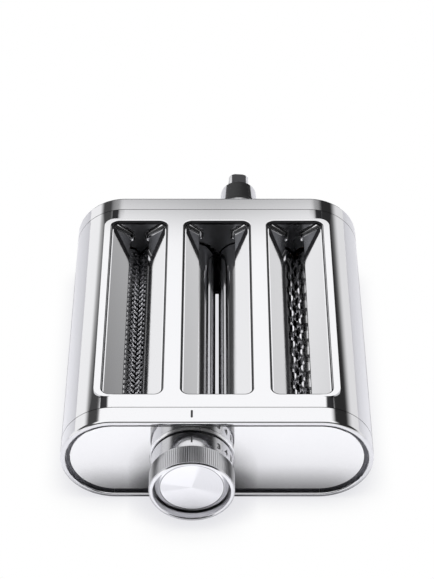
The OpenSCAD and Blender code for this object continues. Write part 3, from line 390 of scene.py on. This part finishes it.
# %% [markdown]
# ## Making a mesh from a profile and a path
# Several small pieces below are one outline carried along a line. All points come from one
# array operation. The faces join each point to its neighbours, and the two ends are closed.

# %% Sweep helper
SHARP_DEGREES = 30


def piece(name, points, faces, material, body):
    """A mesh of points in mm on its body; edges steeper than SHARP_DEGREES stay crisp."""
    mesh = bpy.data.meshes.new(name)
    mesh.from_pydata((np.asarray(points) * MM).tolist(), [], [list(map(int, f)) for f in faces])
    mesh.shade_smooth()
    mesh.set_sharp_from_angle(angle=math.radians(SHARP_DEGREES))
    mesh.materials.append(material)
    o = bpy.data.objects.new(name, mesh)
    bpy.context.scene.collection.objects.link(o)
    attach(o, body)
    print(name, len(mesh.polygons), "faces")


def sweep(rows):
    """Points and faces of closed outlines, rows[i, j]: outline i joined to i + 1, and both ends closed."""
    n, m = rows.shape[:2]
    i, j = np.meshgrid(np.arange(n - 1), np.arange(m), indexing="ij")
    k = (j + 1) % m
    walls = np.stack([i * m + j, i * m + k, (i + 1) * m + k, (i + 1) * m + j], -1).reshape(-1, 4)
    ends = [np.arange(m)[::-1], np.arange(m) + (n - 1) * m]
    return rows.reshape(-1, 3), [*walls, *ends]


print("a sweep of 3 outlines of 4 points has", len(sweep(np.zeros((3, 4, 3)))[1]), "faces")

# %% [markdown]
# ## Corners of the hoppers
# Each hopper is pressed from sheet, so its slopes don't meet the end walls in a sharp corner
# but in a rounded one. The corner is a quarter circle in the section along the case. That
# section is carried down the slope, round the bend and down the throat. Where the path bends,
# its height is stretched by 1 / cos of half the bend, as in a mitre. It stands a few hundredths
# of a millimetre proud of the sheet, and its closed underside is hidden below the sheet's face.
# The path starts 1.6 mm inside the guide's outer edge and ends just above the throat's end.

# %% Section of a corner
fillet_r, clear_gap, proud, skin, depth = 2.6, 0.05, 0.01, 0.02, 0.9
wall_y = from_middle("rear_cheek_plate")[0].y - clear_gap
guide_end = from_middle("sheet_hopper_guides")[1].y + clear_gap
phi = np.linspace(0, math.pi / 2, 13)
arc_y = wall_y - fillet_r + fillet_r * np.sin(phi)
arc_z = proud + skin + fillet_r * (1 - np.cos(phi))
section = np.array([*zip(arc_y, arc_z), (wall_y, -depth), (guide_end, -depth), (guide_end, proud),
                    (wall_y - fillet_r, proud)])
print("points in a corner's section:", len(section))

# %% Hopper corners
mouth_step, above_end = 1.6, 0.2
sheet_bend, cutter_bend = (10.6, 21.2), (5.6, 19.8)


def hopper_corners(name, guides, half_throat, bend_z):
    """Four corners: path points (from the middle, height) plus mitred normals times section height."""
    guides_low, guides_high = from_middle(guides)
    centre, half_mouth = (guides_low.x + guides_high.x) / 2, (guides_high.x - guides_low.x) / 2 - mouth_step
    path = np.array([(half_mouth, guides_high.z), (half_throat, bend_z),
                     (half_throat, guides_low.z + above_end)])
    legs = np.diff(path, axis=0)
    normals = np.stack([legs[:, 1], -legs[:, 0]], -1) / np.linalg.norm(legs, axis=1)[:, None]
    bends = (normals[:-1] + normals[1:]) / (1 + (normals[:-1] * normals[1:]).sum(1))[:, None]
    mitres = np.vstack([normals[:1], bends, normals[-1:]])
    across = path[:, None] + mitres[:, None] * section[None, :, 1:]
    rows = np.stack([across[..., 0], np.broadcast_to(section[:, 0], across.shape[:2]), across[..., 1]], -1)
    points, faces = sweep(rows)
    all_points, all_faces = [], []
    for sx in (1, -1):
        for sy in (1, -1):
            start = sum(len(p) for p in all_points)
            turned = faces if sx * sy > 0 else [f[::-1] for f in faces]
            all_faces += [f + start for f in turned]
            all_points.append(points * (sx, sy, 1) + (centre, middle.y / MM, middle.z / MM))
    piece(name, np.vstack(all_points), all_faces, polished, "root")


for pasta, bend in (("sheet", sheet_bend), ("spaghetti", cutter_bend), ("fettuccine", cutter_bend)):
    hopper_corners(pasta + "_hopper_corners", pasta + "_hopper_guides", *bend)

# %% [markdown]
# ## Numbers on the dial
# The eight settings are printed in black round the dial. Each digit starts as flat text with
# a little thickness. Its width becomes an angle round the dial's axis, its height runs along
# the axis, and its thickness becomes distance from the axis, so it lies on the round face.

# %% Black enamel
speck_mm = 0.6
ink = bpy.data.materials.new("black_enamel")
ink.use_nodes = True
it = ink.node_tree
ink_shader = it.nodes["Principled BSDF"]
ink_shader.inputs["Base Color"].default_value = linear("1B1B1D")
ink_place = add(it, "TexCoord", output="Object")
speck = add(it, "TexNoise", {"Vector": ink_place, "Scale": 1 / (speck_mm * MM), "Detail": 2})
gloss = add(it, "MapRange", {"Value": speck, "To Min": 0.25, "To Max": 0.5})
it.links.new(gloss, ink_shader.inputs["Roughness"])
print("enamel specks:", speck_mm, "mm")

# %% Digits
dial_low, dial_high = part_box("knob_dial")
dial_axis = (dial_low + dial_high) / 2 / MM
dial_r = (dial_high.z - dial_low.z) / 2 / MM
from_case_middle, digit_h = 99.6, 3.9
digit_y = middle.y / MM - from_case_middle
number_turns = (0, 26, 40.5, 55.5, 70.5, 85, 100, 115)
font_thickness, font_weight, off_dial = 0.05, 0.042, 0.02


def digit(text, turn):
    """Flat text bent on the dial: angle = turn + x / r, then (r sin, y, r cos) from the axis."""
    curve = bpy.data.curves.new("digit", "FONT")
    curve.body, curve.align_x, curve.size = text, "CENTER", 1
    curve.extrude, curve.offset = font_thickness, font_weight
    flat_text = bpy.data.objects.new("digit", curve)
    bpy.context.scene.collection.objects.link(flat_text)
    mesh = bpy.data.meshes.new_from_object(flat_text)
    bpy.data.objects.remove(flat_text)
    co = np.empty(len(mesh.vertices) * 3)
    mesh.vertices.foreach_get("co", co)
    co = co.reshape(-1, 3)
    scale = digit_h / np.ptp(co[:, 1])
    x = (co[:, 0] - (co[:, 0].min() + co[:, 0].max()) / 2) * scale
    y = (co[:, 1] - (co[:, 1].min() + co[:, 1].max()) / 2) * scale
    angle = math.radians(turn) + x / dial_r
    r = dial_r + off_dial + co[:, 2]
    points = np.stack([dial_axis.x + r * np.sin(angle), digit_y + y, dial_axis.z + r * np.cos(angle)], -1)
    return points, [np.array(p.vertices) for p in mesh.polygons]


for number, turn in enumerate(number_turns, 1):
    points, faces = digit(str(number), turn)
    piece(f"dial_number_{number}", points, faces, ink, "knob")

# %% [markdown]
# ## Index mark
# The mark that the numbers are read against is a short groove in the front ring, filled with
# black enamel. The filling is a flat bar with round ends. Its top is drawn in slightly, as
# enamel shrinks when it dries: each outline is a stadium with its own half width and its own
# height, counted from the top of the case.

# %% Index mark
mark_l, mark_w, from_front = 5.6, 1.2, 6.2
mark_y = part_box("front_bezel")[0].y / MM + from_front
half_turn = np.linspace(0, math.pi, 9)
rounds = np.concatenate([half_turn, half_turn + math.pi])
ends_at = np.repeat([1, -1], len(half_turn)) * (mark_l - mark_w) / 2
outlines = np.array([(0.57, -0.39), (0.57, -0.10), (0.52, -0.06), (0.40, -0.05)])
half_widths, heights = outlines.T[:, :, None]
rows = np.stack(np.broadcast_arrays(np.cos(rounds) * half_widths, np.sin(rounds) * half_widths + ends_at,
                                    heights), -1)
points, faces = sweep(rows)
piece("index_mark", points + (dial_axis.x, mark_y, high.z / MM), faces, ink, "root")

# %% [markdown]
# ## Studio
# A studio for such polished goods is a dark room with white paper on a table, and a large
# white box of light behind and above it. The world stands for the room and the box, because
# a formula on the direction of a ray gives their soft edges exactly. A direction is given by
# its height and its turn from straight behind, both in degrees, and by where it meets a
# ceiling one unit up: across and over.

# %% Studio directions
white, least_up = 1.30, 0.001
world = bpy.data.worlds.new("studio")
bpy.context.scene.world = world
world.use_nodes = True
wt = world.node_tree
x, y, z = place_on(wt, "Generated")
height = add(wt, "Math", [add(wt, "Math", [z], operation="ARCSINE")], operation="DEGREES")
turn = add(wt, "Math", [add(wt, "Math", (x, y), operation="ARCTAN2")], operation="DEGREES")
either_way = add(wt, "Math", [turn], operation="ABSOLUTE")
up = add(wt, "Math", (z, least_up), operation="MAXIMUM")
across = add(wt, "Math", (x, up), operation="DIVIDE")
over = add(wt, "Math", (y, up), operation="DIVIDE")
print("studio direction nodes:", len(wt.nodes))

# %% [markdown]
# ## Light box
# The box starts about 28 degrees up, dim at first and bright from 40, and its lower edge drops
# a little to both sides. On the ceiling it reaches from -0.95 to 0.80 across, fades softly at
# both sides, and ends 0.75 in front of the machine.

# %% The light box
dim_edge, bright_edge, dim_share, drop_to_sides = (28, 40), (38.4, 40.3), 0.35, 0.12
left_fade, right_fade, front_fade = (-0.95, -0.62), (0.80, 0.45), (-0.75, -0.45)
lifted = add(wt, "Math", (either_way, drop_to_sides, height), operation="MULTIPLY_ADD")
dim = add(wt, "MapRange", (lifted, *dim_edge, 0, dim_share), **SMOOTH)
bright = add(wt, "MapRange", (lifted, *bright_edge, 0, 1 - dim_share), **SMOOTH)
edge = add(wt, "Math", (dim, bright), operation="ADD")
left_side = add(wt, "MapRange", (across, *left_fade), **SMOOTH)
right_side = add(wt, "MapRange", (across, *right_fade), **SMOOTH)
front = add(wt, "MapRange", (over, *front_fade), **SMOOTH)
box_part = all_of(wt, edge, left_side, right_side, front)
print("with the light box:", len(wt.nodes))

# %% [markdown]
# ## Low wall and dark room
# A white wall stands low round the machine, a little dimmer on the right, and is open straight
# behind it, where the hub mirrors darkness. The room between wall and box is nearly black.
# Seen straight on, the world is plain white, so the machine stands on a white page.

# %% The low wall and the dark room
left_wall, right_wall, gap_edge = (24, 14, 0, 0.88), (22, 9, 0, 0.75), (31, 37)
room_left, room_right, wall_blend, room_blend = 0.06, 0.025, (-0.3, 0.3), (-0.5, 0.5)
to_right = add(wt, "MapRange", (x, *wall_blend), **SMOOTH)
to_left = add(wt, "Math", (1, to_right), operation="SUBTRACT")
low_left = all_of(wt, add(wt, "MapRange", (height, *left_wall), **SMOOTH), to_left)
low_right = all_of(wt, add(wt, "MapRange", (height, *right_wall), **SMOOTH), to_right)
wall = add(wt, "Math", (low_left, low_right), operation="ADD")
open_wall = all_of(wt, wall, add(wt, "MapRange", (either_way, *gap_edge), **SMOOTH))
gloom = add(wt, "MapRange", (x, *room_blend, room_left, room_right), **SMOOTH)
room = add(wt, "Math", (open_wall, gloom), operation="MAXIMUM")
light = all_of(wt, add(wt, "Math", (box_part, room), operation="MAXIMUM"), white)
seen_straight = add(wt, "LightPath", output="Is Camera Ray")
strength = add(wt, "Math", (light, seen_straight), operation="MAXIMUM")
wt.links.new(strength, wt.nodes["Background"].inputs["Strength"])
wt.nodes["Background"].inputs["Color"].default_value = (1, 1, 1, 1)
print("world nodes:", len(wt.nodes))

# %% [markdown]
# ## Lamps
# One soft lamp hangs overhead, a little behind, and a small one hangs in front, above the
# paper that the front panel mirrors. Neither is seen in reflections, where the light box
# does its work.

# %% Lamps
def soft_lamp(name, centre, size, look_at, strength):
    """An area lamp left out of reflections: place and size in metres, power = strength x area x pi."""
    lamp = bpy.data.lights.new(name, "AREA")
    lamp.shape, lamp.size, lamp.size_y = "RECTANGLE", *size
    lamp.energy = strength * size[0] * size[1] * math.pi
    o = bpy.data.objects.new(name, lamp)
    o.location = centre
    o.rotation_euler = (Vector(look_at) - Vector(centre)).to_track_quat("-Z", "Y").to_euler()
    o.visible_glossy = False
    bpy.context.scene.collection.objects.link(o)
    print(name, round(lamp.energy, 2), "W")


soft_lamp("overhead_light", centre=(0, 0.25, 1.2), size=(1.6, 0.5), look_at=(0, 0.25, 0), strength=1.5)
soft_lamp("front_light", centre=(0, -0.33, 0.36), size=(0.6, 0.2), look_at=(0, -0.15, 0), strength=2.9)

# %% [markdown]
# ## Paper
# The machine lies on matt white paper, which its polished sides mirror. The paper goes grey
# close to the machine, where the room's light is blocked (ambient occlusion). Seen straight
# on it is white, and keeps only a faint shade where the machine stands on it.

# %% Paper
paper_half, fibre_mm, shade_mm, shade_power = 0.7, 2, 24, 2.2
floor_mesh = bpy.data.meshes.new("floor")
corner_signs = np.array([(-1, -1, 0), (1, -1, 0), (1, 1, 0), (-1, 1, 0)])
floor_mesh.from_pydata((corner_signs * paper_half).tolist(), [], [(0, 1, 2, 3)])
floor = bpy.data.objects.new("floor", floor_mesh)
bpy.context.scene.collection.objects.link(floor)
floor_white = bpy.data.materials.new("matt_white_paper")
floor_white.use_nodes = True
ft = floor_white.node_tree
matt = ft.nodes["Principled BSDF"]
matt.inputs["Roughness"].default_value = 0.9
matt.inputs["Specular IOR Level"].default_value = 0.0
floor_place = add(ft, "TexCoord", output="Object")
fibres = add(ft, "TexNoise", {"Vector": floor_place, "Scale": 1 / (fibre_mm * MM), "Detail": 3})
fibre_tint = add(ft, "Mix", {0: fibres, 6: linear("F2F2F6"), 7: linear("F6F6FA")}, **COLOURS)
openness = add(ft, "AmbientOcclusion", {"Distance": shade_mm * MM}, output="AO", samples=8)
unshaded = add(ft, "Math", (openness, shade_power), operation="POWER")
paper = add(ft, "Mix", {0: unshaded, 6: linear("000000"), 7: fibre_tint}, **COLOURS)
ft.links.new(paper, matt.inputs["Base Color"])
print("paper:", round(2 * paper_half, 1), "m")

# %% Paper as the camera sees it
shadow_edge = (0.35, 0.95)
clear = add(ft, "MapRange", (openness, *shadow_edge), **SMOOTH)
kept_shadow = add(ft, "Mix", {0: clear, 6: linear("E2E2E6"), 7: linear("FFFFFF")}, **COLOURS)
plain = add(ft, "Emission", {"Color": kept_shadow, "Strength": 1.0})
straight = add(ft, "LightPath", output="Is Camera Ray")
surface = add(ft, "MixShader", (straight, matt.outputs["BSDF"], plain))
ft.links.new(surface, ft.nodes["Material Output"].inputs["Surface"])
floor_mesh.materials.append(floor_white)
print("paper nodes:", len(ft.nodes))
